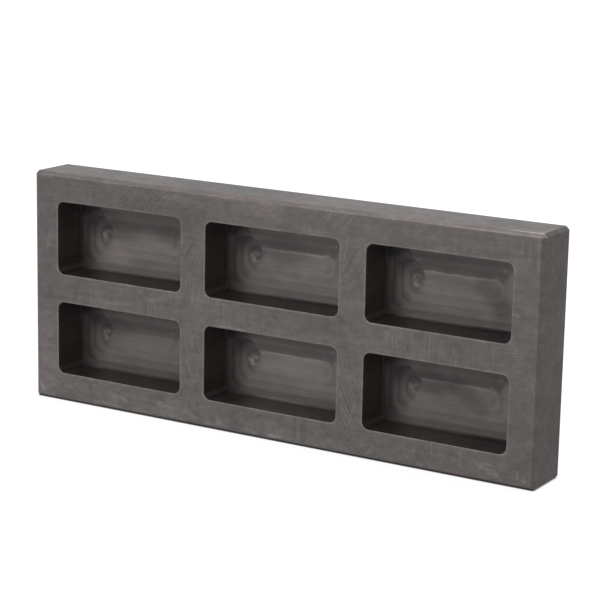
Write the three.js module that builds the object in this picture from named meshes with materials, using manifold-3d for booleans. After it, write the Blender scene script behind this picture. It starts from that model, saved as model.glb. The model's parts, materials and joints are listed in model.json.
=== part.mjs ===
// Graphite casting mould: a flat block with a grid of drafted pockets milled into one face.
// The block stands on its long edge, with +Z up and the pocket mouths towards -Y.

import * as THREE from "three";
import { mergeVertices } from "three/addons/utils/BufferGeometryUtils.js";
import Module from "manifold-3d";

// Pocket, in millimetres
const pocketLength = 63.4;
const pocketHeight = 31.4;
const pocketDepth = 16;
const cutterRadius = 3;
const cutterNoseRadius = 0.8;
const mouthBreak = 0.3;
const draftAngle = THREE.MathUtils.degToRad(0.5);

// Graphite left round the pockets, in millimetres
const floorThickness = 7;
const columnWeb = 12.3;
const rowWeb = 12.4;
const endBorder = 12.6;
const edgeBorder = 12.4;
const edgeChamfer = 1.5;
const cornerChamfer = 1;

// How far a cut runs past the face that it opens
const cutOverrun = 1;

// Pattern and smoothness
const columns = 3;
const rows = 2;
const cornerSteps = 8;
const noseSteps = 5;

// Sizes of the whole block
const columnPitch = pocketLength + columnWeb;
const rowPitch = pocketHeight + rowWeb;
const blockLength = columns * pocketLength + (columns - 1) * columnWeb + 2 * endBorder;
const blockHeight = rows * pocketHeight + (rows - 1) * rowWeb + 2 * edgeBorder;
const blockThickness = pocketDepth + floorThickness;
const mouthLevel = blockThickness / 2;

const graphite = new THREE.MeshStandardMaterial({ color: 0x64605e, roughness: 0.5, metalness: 0.2 });

const wasm = await Module();
wasm.setup();

// Turns a closed geometry into a solid that can be cut.
function toSolid(geometry) {
  const bare = geometry.clone();
  bare.deleteAttribute("normal");
  bare.deleteAttribute("uv");
  const merged = mergeVertices(bare);
  const vertProperties = new Float32Array(merged.attributes.position.array);
  const triVerts = new Uint32Array(merged.index.array);
  return new wasm.Manifold(new wasm.Mesh({ numProp: 3, vertProperties, triVerts }));
}

// Turns a cut solid back into a geometry.
function toGeometry(solid) {
  const mesh = solid.getMesh();
  const geometry = new THREE.BufferGeometry();
  geometry.setAttribute("position", new THREE.BufferAttribute(mesh.vertProperties, 3));
  geometry.setIndex(new THREE.BufferAttribute(mesh.triVerts, 1));
  geometry.computeVertexNormals();
  return geometry;
}

// The block's outline: a rectangle whose four corners are cut at 45 degrees, a little less than its edges.
function chamferedOutline(length, height, chamfer) {
  const x = length / 2;
  const y = height / 2;
  const outline = new THREE.Shape();
  outline.moveTo(chamfer - x, -y);
  outline.lineTo(x - chamfer, -y);
  outline.lineTo(x, chamfer - y);
  outline.lineTo(x, y - chamfer);
  outline.lineTo(x - chamfer, y);
  outline.lineTo(chamfer - x, y);
  outline.lineTo(-x, y - chamfer);
  outline.lineTo(-x, chamfer - y);
  outline.closePath();
  return outline;
}

// The blank: the outline extruded through the thickness, with the edges of both faces broken at 45 degrees.
function blankGeometry() {
  const geometry = new THREE.ExtrudeGeometry(chamferedOutline(blockLength, blockHeight, cornerChamfer), {
    depth: blockThickness - 2 * edgeChamfer,
    bevelEnabled: true,
    bevelSegments: 1,
    bevelSize: edgeChamfer,
    bevelThickness: edgeChamfer,
    bevelOffset: -edgeChamfer,
    steps: 1,
  });
  return geometry.translate(0, 0, edgeChamfer - blockThickness / 2);
}

// One closed section of a pocket: the mouth drawn in by an inset, its corners round, at one level.
function pocketSection(inset, level) {
  const x = pocketLength / 2 - inset;
  const y = pocketHeight / 2 - inset;
  const radius = Math.max(cutterRadius - inset, cutterNoseRadius / noseSteps);
  const right = x - radius;
  const top = y - radius;
  const centres = [[right, top], [-right, top], [-right, -top], [right, -top]];
  const section = [];
  centres.forEach(([middleX, middleY], quarter) => {
    for (let step = 0; step <= cornerSteps; step += 1) {
      const turn = (quarter + step / cornerSteps) * Math.PI / 2;
      section.push([middleX + radius * Math.cos(turn), middleY + radius * Math.sin(turn), level]);
    }
  });
  return section;
}

// The sections of a pocket from above its mouth down to its floor:
// the broken rim, the drafted wall, and the arc that the cutter's nose leaves round the floor.
function pocketSections() {
  const wallDepth = pocketDepth - cutterNoseRadius;
  const wallInset = wallDepth * Math.tan(draftAngle);
  const sections = [
    pocketSection(-mouthBreak - cutOverrun, mouthLevel + cutOverrun),
    pocketSection(0, mouthLevel - mouthBreak),
  ];
  for (let step = 0; step <= noseSteps; step += 1) {
    const turn = step / noseSteps * Math.PI / 2;
    const inset = wallInset + cutterNoseRadius * (1 - Math.cos(turn));
    const depth = wallDepth + cutterNoseRadius * Math.sin(turn);
    sections.push(pocketSection(inset, mouthLevel - depth));
  }
  return sections;
}

// Skins a stack of sections with triangles and closes both ends.
function loft(sections) {
  const count = sections[0].length;
  const index = [];
  for (let ring = 0; ring < sections.length - 1; ring += 1) {
    for (let point = 0; point < count; point += 1) {
      const next = (point + 1) % count;
      const upper = ring * count;
      const lower = upper + count;
      index.push(upper + point, lower + point, upper + next);
      index.push(upper + next, lower + point, lower + next);
    }
  }
  const last = (sections.length - 1) * count;
  for (let point = 1; point < count - 1; point += 1) {
    index.push(0, point, point + 1);
    index.push(last, last + point + 1, last + point);
  }
  const geometry = new THREE.BufferGeometry();
  geometry.setAttribute("position", new THREE.Float32BufferAttribute(sections.flat(2), 3));
  geometry.setIndex(index);
  return geometry;
}

// Where the pockets' centres lie on the block's face.
function pocketCentres() {
  const centres = [];
  for (let row = 0; row < rows; row += 1) {
    for (let column = 0; column < columns; column += 1) {
      centres.push([(column - (columns - 1) / 2) * columnPitch, (row - (rows - 1) / 2) * rowPitch]);
    }
  }
  return centres;
}

// The mould: the blank with every pocket milled out of its mouth face.
function mouldGeometry() {
  const pocket = toSolid(loft(pocketSections()));
  let solid = toSolid(blankGeometry());
  for (const [x, y] of pocketCentres()) {
    solid = solid.subtract(pocket.translate([x, y, 0]));
  }
  return toGeometry(solid);
}

const mouldBlock = new THREE.Mesh(mouldGeometry(), graphite);
mouldBlock.name = "mould_block";

// The block is modelled lying on its back, then stood up on its long edge.
const mould = new THREE.Group();
mould.add(mouldBlock);
mould.rotation.x = Math.PI / 2;
mould.position.z = blockHeight / 2;

export default mould;
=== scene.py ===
# %% [markdown]
# # A graphite casting mould
# The object is one block of fine-grained graphite with six pockets milled into one face. Small bars
# of silver, brass or glass are cast in the pockets. It stands on its long narrow edge here. There is
# nothing else on it, so all that the eye reads is form, edge wear and the marks of the cutters. This
# lesson builds the block as one skin of numpy arrays, then gives each kind of machined surface its
# own material.

# %% Load the fixed frame
import bpy
import json
import numpy as np
from functools import reduce
from mathutils import Matrix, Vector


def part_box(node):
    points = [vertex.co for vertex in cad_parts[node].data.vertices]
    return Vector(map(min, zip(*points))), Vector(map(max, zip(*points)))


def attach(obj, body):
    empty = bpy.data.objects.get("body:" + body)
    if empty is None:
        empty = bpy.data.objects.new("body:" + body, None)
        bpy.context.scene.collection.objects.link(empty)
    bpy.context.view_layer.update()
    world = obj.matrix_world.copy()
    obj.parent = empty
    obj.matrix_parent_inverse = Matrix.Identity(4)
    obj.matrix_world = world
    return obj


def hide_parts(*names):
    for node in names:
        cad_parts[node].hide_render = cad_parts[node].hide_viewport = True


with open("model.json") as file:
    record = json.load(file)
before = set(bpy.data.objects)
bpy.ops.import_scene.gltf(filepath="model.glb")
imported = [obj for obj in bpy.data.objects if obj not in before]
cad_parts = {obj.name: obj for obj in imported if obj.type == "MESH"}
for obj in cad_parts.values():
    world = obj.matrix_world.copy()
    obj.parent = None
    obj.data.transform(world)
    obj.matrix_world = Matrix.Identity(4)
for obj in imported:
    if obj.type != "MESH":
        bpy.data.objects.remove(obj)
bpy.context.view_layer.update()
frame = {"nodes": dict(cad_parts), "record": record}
MM = 0.001
print("nodes in the frame:", sorted(frame["nodes"]))

# %% [markdown]
# ## Sizes
# The outer size comes from the frame, and so do the pockets' places: the record states a free box in
# each pocket, and the middle of that box is the middle of the pocket. The cutter's sizes are written
# here in millimetres, because they are what a machinist would set.

# %% Read the block's box and the pockets' centres
low, high = (np.round(np.array(corner) / MM, 3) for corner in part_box("mould_block"))
LENGTH, THICKNESS, HEIGHT = high - low
FRONT, BACK = low[1], high[1]
boxes = np.array([opening["box_m"] for opening in frame["record"]["physics"]["openings"]]) / MM
centres = boxes.mean(axis=1)[:, [0, 2]]
COLUMN_X = np.unique(np.round(centres[:, 0], 3))
ROW_Z = np.unique(np.round(centres[:, 1], 3))
print("block", LENGTH, THICKNESS, HEIGHT, "columns at", COLUMN_X, "rows at", ROW_Z)

# %% Sizes that the cutters leave, in millimetres
POCKET_X = 63.4
POCKET_Z = 31.4
POCKET_DEPTH = 16.0
CORNER_RADIUS = 3.0
NOSE_RADIUS = 0.8
MOUTH_BREAK = 0.3
EDGE_CHAMFER = 1.5
DRAFT = np.tan(np.radians(0.5))

# %% [markdown]
# ## Camera
# The photograph is a long-lens picture from the front right, a little above the block. Its straight
# edges fix the lens and the viewpoint, so the camera is set from angles and a distance instead of by
# eye. The axes of a Blender camera are right, up and back, and those three unit vectors are the
# columns of its rotation.

# %% Place the camera
AZIMUTH, ELEVATION, ROLL = np.radians([30.997, 12.835, 1.155])
DISTANCE = 854.0
SLIDE_RIGHT = 13.32
SLIDE_UP = 57.5
FOCAL_PIXELS = 2081.7
PICTURE_PIXELS = 600
SENSOR = 36.0


def camera_axes(azimuth, elevation, roll):
    """Right, up and back of a camera that looks at the origin from these angles, rolled about back."""
    back = np.array([np.sin(azimuth) * np.cos(elevation), -np.cos(azimuth) * np.cos(elevation),
                     np.sin(elevation)])
    level = np.array([np.cos(azimuth), np.sin(azimuth), 0.0])
    upright = np.cross(back, level)
    right = np.cos(roll) * level + np.sin(roll) * upright
    up = np.cos(roll) * upright - np.sin(roll) * level
    return right, up, back


def make_camera():
    """The camera, placed by its matrix: right, up and back are its columns, and then its place in metres."""
    right, up, back = camera_axes(AZIMUTH, ELEVATION, ROLL)
    place = back * DISTANCE + right * SLIDE_RIGHT + up * SLIDE_UP + np.array([0.0, FRONT, 0.0])
    data = bpy.data.cameras.new("camera")
    data.sensor_width = SENSOR
    data.lens = SENSOR * FOCAL_PIXELS / PICTURE_PIXELS
    data.clip_start = 0.01
    camera = bpy.data.objects.new("camera", data)
    bpy.context.scene.collection.objects.link(camera)
    matrix = np.eye(4)
    matrix[:3, 0], matrix[:3, 1], matrix[:3, 2], matrix[:3, 3] = right, up, back, place * MM
    camera.matrix_world = Matrix(matrix.tolist())
    bpy.context.scene.camera = camera
    return camera


camera = make_camera()
print("lens", round(camera.data.lens, 1), "mm, camera at", [round(v, 3) for v in camera.location])

# %% [markdown]
# ## One loop round a pocket
# Every line round a pocket is a rounded rectangle: the mouth, the foot of the wall and each pass of
# the cutter on the floor. All loops have the same number of points, so that two neighbouring loops
# can be joined by quads. A point of the loop is a corner centre plus the corner radius in some
# direction. The template below holds, for each point, which corner centre it belongs to (as a value
# from -1 to 1 on each axis) and that direction. A straight run is where the centre slides from one
# corner to the next while the direction stays.

# %% The template of a loop
ARC_STEPS = 6
STEPS_ALONG_X = 44
STEPS_ALONG_Z = 22


def loop_side(straight_steps, turn):
    """One side, from the middle of one corner to the middle of the next: half an arc, a straight run and half
    an arc. turn is the quarter of the side: 0 for right, 1 for top, 2 for left, 3 for bottom."""
    swing = np.radians(45.0)
    angle = np.concatenate([np.linspace(-swing, 0, ARC_STEPS, endpoint=False), np.zeros(straight_steps),
                            np.linspace(0, swing, ARC_STEPS, endpoint=False)])
    slide = np.concatenate([-np.ones(ARC_STEPS), np.linspace(-1, 1, straight_steps, endpoint=False),
                            np.ones(ARC_STEPS)])
    quarter = turn * np.pi / 2
    along = np.stack([np.cos(quarter) - slide * np.sin(quarter), np.sin(quarter) + slide * np.cos(quarter)])
    facing = np.stack([np.cos(angle + quarter), np.sin(angle + quarter)])
    return np.concatenate([along, facing])


SIDE_STEPS = [STEPS_ALONG_Z, STEPS_ALONG_X, STEPS_ALONG_Z, STEPS_ALONG_X]
TEMPLATE = np.concatenate([loop_side(steps, turn) for turn, steps in enumerate(SIDE_STEPS)], axis=1)
LOOP_POINTS = TEMPLATE.shape[1]


def pocket_loops(inset, radius):
    """Rounded rectangles drawn in from the mouth by inset, one row per loop: (loops, points, 2).
    point = sign * (half size - inset - radius) + radius * direction, on each axis."""
    inset = np.asarray(inset, float)[:, None]
    radius = np.asarray(radius, float)[:, None]
    x = TEMPLATE[0] * (POCKET_X / 2 - inset - radius) + radius * TEMPLATE[2]
    z = TEMPLATE[1] * (POCKET_Z / 2 - inset - radius) + radius * TEMPLATE[3]
    return np.stack([x, z], axis=-1)


print("points in a loop:", LOOP_POINTS)

# %% [markdown]
# ## The pocket's profile
# Seen in section, a pocket runs from its middle out over the floor, round the arc that the cutter's
# nose leaves, up a nearly upright wall and over the broken rim. The profile is a list of insets from
# the mouth and depths below the face. On the floor the cutter went round in passes 3.7 mm apart,
# and each left a shallow trough. That relief is real geometry here, since the light picks it out as
# bright and dark lines.

# %% The profile from the middle of the floor to the rim
PASS_WIDTH = 3.7
FIRST_PASS = 0.1
INNER_PASS = FIRST_PASS + 3 * PASS_WIDTH
TROUGH = 0.03
FLOOR_LOOPS = 42
ARC_LOOPS = 6
WALL_SHARES = np.array([0.0, 0.03, 0.25, 0.5, 0.75, 0.97, 1.0])
WALL_DEPTH = POCKET_DEPTH - NOSE_RADIUS
WALL_INSET = WALL_DEPTH * DRAFT
FLOOR_INSET = WALL_INSET + NOSE_RADIUS
PASS_CORNER = 3.4


def floor_relief(inset):
    """Height of the floor over its lowest level: each pass is a parabola that is highest at its two edges,
    and half a parabola falls from the last pass to the middle line."""
    position = (inset - FIRST_PASS) / PASS_WIDTH
    across = 2 * (position - np.floor(position)) - 1
    inner = (inset - INNER_PASS) / (POCKET_Z / 2 - INNER_PASS)
    return TROUGH * np.where(inset < INNER_PASS, across ** 2, (1 - np.clip(inner, 0, 1)) ** 2)


def floor_corner(inset):
    """Corner radius of a loop on the floor: the wall's at its foot, then the cutter's, none in the middle."""
    foot = CORNER_RADIUS - FLOOR_INSET
    swept = np.interp(inset, [FLOOR_INSET, FIRST_PASS + PASS_WIDTH], [foot, PASS_CORNER])
    return np.minimum(POCKET_Z / 2 - inset, swept)


def pocket_profile():
    """Insets, depths and corner radii of the loops, from the middle of the floor outwards to the rim."""
    floor_inset = np.linspace(POCKET_Z / 2, FLOOR_INSET, FLOOR_LOOPS)
    turn = np.linspace(np.pi / 2, 0, ARC_LOOPS, endpoint=False)[1:]
    nose_inset = WALL_INSET + NOSE_RADIUS * (1 - np.cos(turn))
    nose_depth = WALL_DEPTH + NOSE_RADIUS * np.sin(turn)
    wall_inset = WALL_INSET * (1 - WALL_SHARES)
    wall_depth = WALL_DEPTH + (MOUTH_BREAK - WALL_DEPTH) * WALL_SHARES
    rim = np.linspace(0, np.pi / 2, ARC_LOOPS)[1:]
    rim_inset = -MOUTH_BREAK * (1 - np.cos(rim))
    rim_depth = MOUTH_BREAK * (1 - np.sin(rim))
    inset = np.concatenate([floor_inset, nose_inset, wall_inset, rim_inset])
    floor_depth = POCKET_DEPTH - floor_relief(floor_inset)
    depth = np.concatenate([floor_depth, nose_depth, wall_depth, rim_depth])
    radius = np.concatenate([floor_corner(floor_inset), CORNER_RADIUS - inset[FLOOR_LOOPS:]])
    return inset, depth, radius


INSET, DEPTH, RADIUS = pocket_profile()
WALL_START = FLOOR_LOOPS - 1
RIM_START = len(INSET) - ARC_LOOPS
print("loops in a pocket:", len(INSET), "floor from", DEPTH[:FLOOR_LOOPS].min(), "to", DEPTH.max(), "mm deep")

# %% [markdown]
# ## From the rim to the edges of a tile
# The face round each pocket is a rectangular tile that ends in the middle of the webs, or where the
# block's own chamfer starts. First come a few loops parallel to the rim, which carry its lighter
# border, and then straight blends to the tile's outline. The outline has as many points as a loop,
# spread along each side by the same shares for every pocket. So the tiles of neighbouring pockets
# meet point for point, and the whole face is one closed skin once equal points are merged.

# %% The tile round a pocket
WORN_RADIUS = 0.3
WORN_REACH = WORN_RADIUS * np.tan(np.radians(22.5))
FACE_START = EDGE_CHAMFER + WORN_REACH
BORDER_INSETS = np.array([-0.45, -0.75, -1.3])
FACE_SHARES = np.array([0.3, 0.65, 0.92, 1.0])
OUTER_X = LENGTH / 2 - FACE_START
GRID_DECIMALS = 4
FAR_INSET = -10.0
EDGES_X = (-OUTER_X, (COLUMN_X[0] + COLUMN_X[1]) / 2, (COLUMN_X[1] + COLUMN_X[2]) / 2, OUTER_X)
EDGES_Z = (FACE_START, (ROW_Z[0] + ROW_Z[1]) / 2, HEIGHT - FACE_START)


def side_shares(steps):
    """How far along its side each point lies, as a share of its length: arcs are short, straights long."""
    arc = CORNER_RADIUS * np.pi / 4 / ARC_STEPS
    size = POCKET_Z if steps == STEPS_ALONG_Z else POCKET_X
    straight = (size - 2 * CORNER_RADIUS) / steps
    lengths = np.concatenate([np.full(ARC_STEPS, arc), np.full(steps, straight), np.full(ARC_STEPS, arc)])
    return np.concatenate([[0.0], np.cumsum(lengths)]) / lengths.sum()


def tile_outline(x0, x1, z0, z1):
    """The tile's rectangle as a loop: up the right side, left along the top, down, and right to the start."""
    up = side_shares(STEPS_ALONG_Z)[:-1]
    across = side_shares(STEPS_ALONG_X)[:-1]
    right = np.stack([np.full_like(up, x1), z0 + up * (z1 - z0)], axis=-1)
    top = np.stack([x1 + across * (x0 - x1), np.full_like(across, z1)], axis=-1)
    left = np.stack([np.full_like(up, x0), z1 + up * (z0 - z1)], axis=-1)
    bottom = np.stack([x0 + across * (x1 - x0), np.full_like(across, z0)], axis=-1)
    return np.round(np.concatenate([right, top, left, bottom]), GRID_DECIMALS)


def pocket_skin(column, row):
    """Points (loops, points, 3) of one pocket and its tile, and the place of each on the pocket: x and z from
    its middle and the inset from its mouth, which is below zero on the face."""
    centre = np.array([COLUMN_X[column], ROW_Z[row]])
    inset = np.concatenate([INSET, BORDER_INSETS])
    radius = np.concatenate([RADIUS, CORNER_RADIUS - BORDER_INSETS])
    loops = pocket_loops(inset, radius)
    outline = tile_outline(EDGES_X[column], EDGES_X[column + 1], EDGES_Z[row], EDGES_Z[row + 1]) - centre
    share = FACE_SHARES[:, None, None]
    plane = np.concatenate([loops, loops[-1] * (1 - share) + outline * share])
    flat = len(plane) - len(DEPTH)
    y = FRONT + np.concatenate([DEPTH, np.zeros(flat)])
    inset = np.concatenate([inset, np.full(len(FACE_SHARES), FAR_INSET)])
    y, inset = (np.broadcast_to(v[:, None], plane.shape[:2]) for v in (y, inset))
    points = np.stack([plane[..., 0] + centre[0], y, plane[..., 1] + centre[1]], axis=-1)
    return points, np.stack([plane[..., 0], plane[..., 1], inset], axis=-1)


print("face runs from x", round(EDGES_X[0], 2), "to", round(EDGES_X[-1], 2), "with webs at", EDGES_X[1:-1])

# %% [markdown]
# ## The outside of the block
# The outline of the six tiles together is a rectangle. Carried backwards along a profile, it makes
# the front chamfer, the four narrow sides and the back chamfer. Where two chamfers meet, the loop
# also turns the corner at 45 degrees. The four corners were cut by hand, so each has its own share of
# the chamfer. Each edge keeps a small radius, because graphite is soft and a sharp edge never stays
# sharp. A value of wear, from 0 to 1, rides along with the profile and is used by the materials later.
# The back face is a plain grid on the same points.

# %% The profile that carries the outline backwards
WORN_STEPS = 3
SUPPORT = 0.35
SLOPE_WEAR = (0.25, 0.0, 0.25)
SIDE_WEAR = (0.2, 0.0, 0.0)
# The corners' shares: upper right, upper left, lower left, lower right
CORNER_SHARES = (0.95, 1.05, 0.5, 0.7)


def rounded_corner(before, corner, after, radius):
    """Points of the arc that rounds a corner, from the leg before it to the leg after it. Its centre lies on
    the line that halves the angle, radius / sin(half the angle) from the corner."""
    before, corner, after = (np.array(p, float) for p in (before, corner, after))
    one = (before - corner) / np.linalg.norm(before - corner)
    two = (after - corner) / np.linalg.norm(after - corner)
    half = np.arccos(np.clip(one @ two, -1, 1)) / 2
    centre = corner + (one + two) / np.linalg.norm(one + two) * radius / np.sin(half)
    start = corner + one * radius / np.tan(half) - centre
    end = corner + two * radius / np.tan(half) - centre
    sweep = np.linspace(0, 1, WORN_STEPS + 1)[:, None]
    arc = start * (1 - sweep) + end * sweep
    return centre + arc / np.linalg.norm(arc, axis=1, keepdims=True) * radius


def edge_profile():
    """Inset, depth and wear of the loops from the face's edge to the middle of the narrow side."""
    c = EDGE_CHAMFER
    face_edge = rounded_corner((2 * c, 0), (c, 0), (0, c), WORN_RADIUS)
    side_edge = rounded_corner((c, 0), (0, c), (0, 2 * c), WORN_RADIUS)
    slope = side_edge[0] - face_edge[-1]
    near = SUPPORT / np.linalg.norm(slope)
    inner = face_edge[-1] + np.array([near, 0.5, 1 - near])[:, None] * slope
    side = np.array([[0, c + WORN_REACH + SUPPORT], [0, THICKNESS / 4], [0, THICKNESS / 2]])
    worn = np.ones(WORN_STEPS + 1)
    wear = np.concatenate([worn, SLOPE_WEAR, worn, SIDE_WEAR])
    return np.column_stack([np.concatenate([face_edge, inner, side_edge, side]), wear])


def whole_profile():
    """The front half of the profile followed by the same half mirrored to the back."""
    front = edge_profile()
    back = front[-2::-1] * [1, -1, 1] + [0, THICKNESS, 0]
    return np.concatenate([front, back])


print("loops round the outside:", len(whole_profile()))

# %% The loops round the outside and the grid of the back
def outer_runs():
    """Where the tiles' points lie along the whole length and the whole height."""
    across = side_shares(STEPS_ALONG_X)
    up = side_shares(STEPS_ALONG_Z)
    xs = [a + across * (b - a) for a, b in zip(EDGES_X[:-1], EDGES_X[1:])]
    zs = [a + up * (b - a) for a, b in zip(EDGES_Z[:-1], EDGES_Z[1:])]
    return tuple(np.unique(np.round(np.concatenate(run), GRID_DECIMALS)) for run in (xs, zs))


def corner_turn():
    """The 45 degree turn at a corner on a unit scale, from (1, 0) to (0, 1), with both ends left out."""
    radius = WORN_RADIUS / FACE_START
    reach = WORN_REACH / FACE_START
    lower = rounded_corner((1, -1), (1, reach), (reach, 1), radius)
    upper = rounded_corner((1, reach), (reach, 1), (-1, 1), radius)
    return np.concatenate([lower[1:], (lower[-1:] + upper[:1]) / 2, upper[:-1]])


def block_loop(xs, zs, inset):
    """The outline of the block drawn in by inset. The sides keep the points of the face, and each corner
    turns round the face's own corner with what is left of the chamfer."""
    grow = FACE_START - inset
    turns = [grow * (1 - share + share * corner_turn()) for share in CORNER_SHARES]
    x0, x1, z0, z1 = xs[0], xs[-1], zs[0], zs[-1]
    right = np.stack([np.full_like(zs, x1 + grow), zs], axis=-1)
    top = np.stack([xs[::-1], np.full_like(xs, z1 + grow)], axis=-1)
    left = np.stack([np.full_like(zs, x0 - grow), zs[::-1]], axis=-1)
    bottom = np.stack([xs, np.full_like(xs, z0 - grow)], axis=-1)
    corners = [turns[0] + [x1, z1], turns[1][::-1] * [-1, 1] + [x0, z1], -turns[2] + [x0, z0],
               turns[3][::-1] * [1, -1] + [x1, z0]]
    return np.concatenate([right, corners[0], top, corners[1], left, corners[2], bottom, corners[3]])


def outside_skin(xs, zs):
    """Points (loops, points, 3) of the chamfers and narrow sides, and the wear of each loop."""
    profile = whole_profile()
    plane = np.stack([block_loop(xs, zs, inset) for inset in profile[:, 0]])
    y = np.broadcast_to(FRONT + profile[:, 1:2], plane.shape[:2])
    wear = np.broadcast_to(profile[:, 2:3], plane.shape[:2])
    return np.stack([plane[..., 0], y, plane[..., 1]], axis=-1), wear


def back_skin(xs, zs):
    """Points (rows, columns, 3) of the back face."""
    z, x = np.meshgrid(zs, xs, indexing="ij")
    return np.stack([x, np.full_like(x, BACK), z], axis=-1)


XS, ZS = outer_runs()
print("points along the length:", len(XS), "and the height:", len(ZS))

# %% [markdown]
# ## One skin
# All grids are now collected, equal points are merged and every quad is cut into two triangles.
# Triangles that shrank to a line, as in the middle of a floor, drop out. The skin is checked before it
# becomes a mesh: every edge must have exactly two triangles, and the enclosed volume must be above zero,
# which also shows that the triangles face outwards.

# %% Collect the grids
ZONES = ("face", "floor", "wall", "side", "back", "end")
FLAT_END = 0.02
MERGE_DECIMALS = 5


def grid_quads(rows, columns, closed):
    """Corner numbers of the quads of a grid, and the row of each quad. A closed grid joins its last column to
    its first."""
    across = np.arange(columns if closed else columns - 1)
    row, column = np.meshgrid(np.arange(rows - 1), across, indexing="ij")
    following = (column + 1) % columns
    quads = np.stack([row * columns + column, (row + 1) * columns + column,
                      (row + 1) * columns + following, row * columns + following], axis=-1)
    return quads.reshape(-1, 4), row.ravel()


def pocket_part(column, row):
    """One pocket as points, place on the pocket, wear, quads and zones."""
    points, place = pocket_skin(column, row)
    quads, quad_row = grid_quads(points.shape[0], points.shape[1], True)
    face, floor, wall = (ZONES.index(name) for name in ("face", "floor", "wall"))
    zone = np.select([quad_row < WALL_START, quad_row < RIM_START], [floor, wall], face)
    wear = np.zeros(points.shape[:2])
    wear[RIM_START:len(INSET)] = 1.0
    return points.reshape(-1, 3), place.reshape(-1, 3), wear.ravel(), quads, zone


def plain_part(points, wear, closed, zone):
    """A grid of the outside in the same form as a pocket."""
    quads, _ = grid_quads(points.shape[0], points.shape[1], closed)
    place = np.broadcast_to([0.0, 0.0, FAR_INSET], points.shape)
    zones = np.full(len(quads), ZONES.index(zone))
    return points.reshape(-1, 3), place.reshape(-1, 3), wear.ravel(), quads, zones


def all_parts():
    """The six pockets with their tiles, then the sides and the back."""
    sides, side_wear = outside_skin(XS, ZS)
    back = back_skin(XS, ZS)
    parts = [pocket_part(column, row) for row in range(len(ROW_Z)) for column in range(len(COLUMN_X))]
    parts.append(plain_part(sides, side_wear, True, "side"))
    parts.append(plain_part(back, np.zeros(back.shape[:2]), False, "back"))
    return parts


def merge(parts):
    """One set of points, place, wear, triangles and zones, with equal points made one and collapsed triangles
    gone."""
    start = np.cumsum([0] + [len(part[0]) for part in parts[:-1]])
    points, place, wear = (np.concatenate([part[i] for part in parts]) for i in range(3))
    quads = np.concatenate([part[3] + first for part, first in zip(parts, start)])
    zone = np.concatenate([part[4] for part in parts])
    rounded = np.round(points, MERGE_DECIMALS)
    _, first, number = np.unique(rounded, axis=0, return_index=True, return_inverse=True)
    quads = number.reshape(-1)[quads]
    triangles = np.concatenate([quads[:, [0, 1, 2]], quads[:, [0, 2, 3]]])
    zone = np.concatenate([zone, zone])
    a, b, c = triangles.T
    kept = (a != b) & (b != c) & (c != a)
    return points[first], place[first], wear[first], triangles[kept], zone[kept]


POINTS, PLACE, WEAR, TRIANGLES, ZONE = merge(all_parts())
on_flat_end = np.abs(POINTS[TRIANGLES, 0]).min(axis=1) > LENGTH / 2 - FLAT_END
ZONE[on_flat_end] = ZONES.index("end")
print("skin:", len(POINTS), "points and", len(TRIANGLES), "triangles")

# %% Check the skin
def loose_edges(triangles):
    """How many edges don't have exactly one triangle on each side, counted with their directions."""
    edges = np.concatenate([triangles[:, [0, 1]], triangles[:, [1, 2]], triangles[:, [2, 0]]])
    forward, counts = np.unique(edges, axis=0, return_counts=True)
    backward = np.unique(edges[:, ::-1], axis=0)
    return int((counts > 1).sum()) + (0 if np.array_equal(forward, backward) else 1)


def enclosed_volume(points, triangles):
    """Volume in cubic millimetres: the sum of the signed boxes of the triangles' corners, over six."""
    a, b, c = (points[triangles[:, i]] for i in range(3))
    return float(np.einsum("ij,ij->i", a, np.cross(b, c)).sum() / 6)


volume = enclosed_volume(POINTS, TRIANGLES) / 1000
print("loose edges:", loose_edges(TRIANGLES), "volume:", round(volume, 1), "cm3")

# %% [markdown]
# ## From arrays to a mesh
# The arrays go into the mesh whole, with foreach_set, which is fast and keeps the code free of
# loops over points. Two attributes go along for the materials: the place on the pocket, as x, z and
# inset in millimetres, and the wear of the edges. Each of the six zones of the skin gets its own
# material slot, because they are cut by different tools and look different.

# %% Make the mesh
def block_mesh(name):
    """The mesh of all triangles, smooth, with its zones as material numbers and its two attributes."""
    mesh = bpy.data.meshes.new(name)
    mesh.vertices.add(len(POINTS))
    mesh.loops.add(TRIANGLES.size)
    mesh.polygons.add(len(TRIANGLES))
    mesh.vertices.foreach_set("co", (POINTS * MM).astype(np.float32).ravel())
    mesh.loops.foreach_set("vertex_index", TRIANGLES.astype(np.int32).ravel())
    mesh.polygons.foreach_set("loop_start", np.arange(0, TRIANGLES.size, 3, dtype=np.int32))
    mesh.polygons.foreach_set("material_index", ZONE.astype(np.int32))
    mesh.polygons.foreach_set("use_smooth", np.ones(len(TRIANGLES), bool))
    mesh.attributes.new("pocket_place", "FLOAT_VECTOR", "POINT").data.foreach_set("vector", PLACE.ravel())
    mesh.attributes.new("wear", "FLOAT", "POINT").data.foreach_set("value", WEAR)
    mesh.update(calc_edges=True)
    mesh.validate()
    return mesh


block = bpy.data.objects.new("graphite_block", block_mesh("graphite_block"))
bpy.context.scene.collection.objects.link(block)
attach(block, "root")
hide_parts("mould_block")
print("mesh:", len(block.data.vertices), "points,", len(block.data.polygons), "triangles")

# %% [markdown]
# ## Fields: values that nodes work out
# A procedural material is a formula made of nodes. It could be written node by node, but then the
# formula is hard to see. So a small class stands for the output of a node: a number or a vector at
# every point of the surface. The usual signs on it add Math nodes, and a * b + 1 makes two of them.
# The helpers after it make the other nodes. What they take may be a field or a plain number.

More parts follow.
